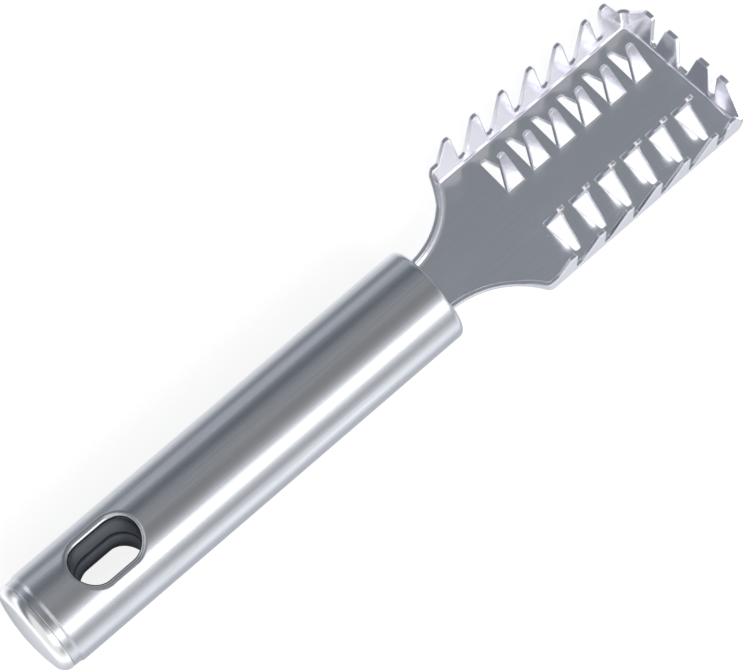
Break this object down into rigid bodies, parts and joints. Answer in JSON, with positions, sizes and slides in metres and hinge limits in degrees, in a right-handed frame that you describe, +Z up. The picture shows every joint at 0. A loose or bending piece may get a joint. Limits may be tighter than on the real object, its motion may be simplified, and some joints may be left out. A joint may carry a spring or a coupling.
{
  "type": "fish scaler",
  "caption": "Hand-held fish scaler: a flat toothed steel head with a turned-up saw-edged rim on a straight tubular handle with a slot to hang it by.",
  "frame": {"origin": "centre of the bounding box's underside, on the floor the tool lies on", "axes": "+X from the handle's butt to the head along the handle's axis, +Z up from the floor, +Y to the side of the folded edge the head rests on"},
  "size_m": [0.1986, 0.0386, 0.0334],
  "materials": {
    "head_steel": "polished stainless steel sheet",
    "handle_steel": "polished stainless steel tube",
    "cap_steel": "polished stainless steel",
    "plug_steel": "plain steel"
  },
  "bodies": {
    "root": {"scaler_head": "head_steel", "handle_tube": "handle_steel", "end_cap": "cap_steel", "mouth_plug": "plug_steel"}
  },
  "joints": []
}
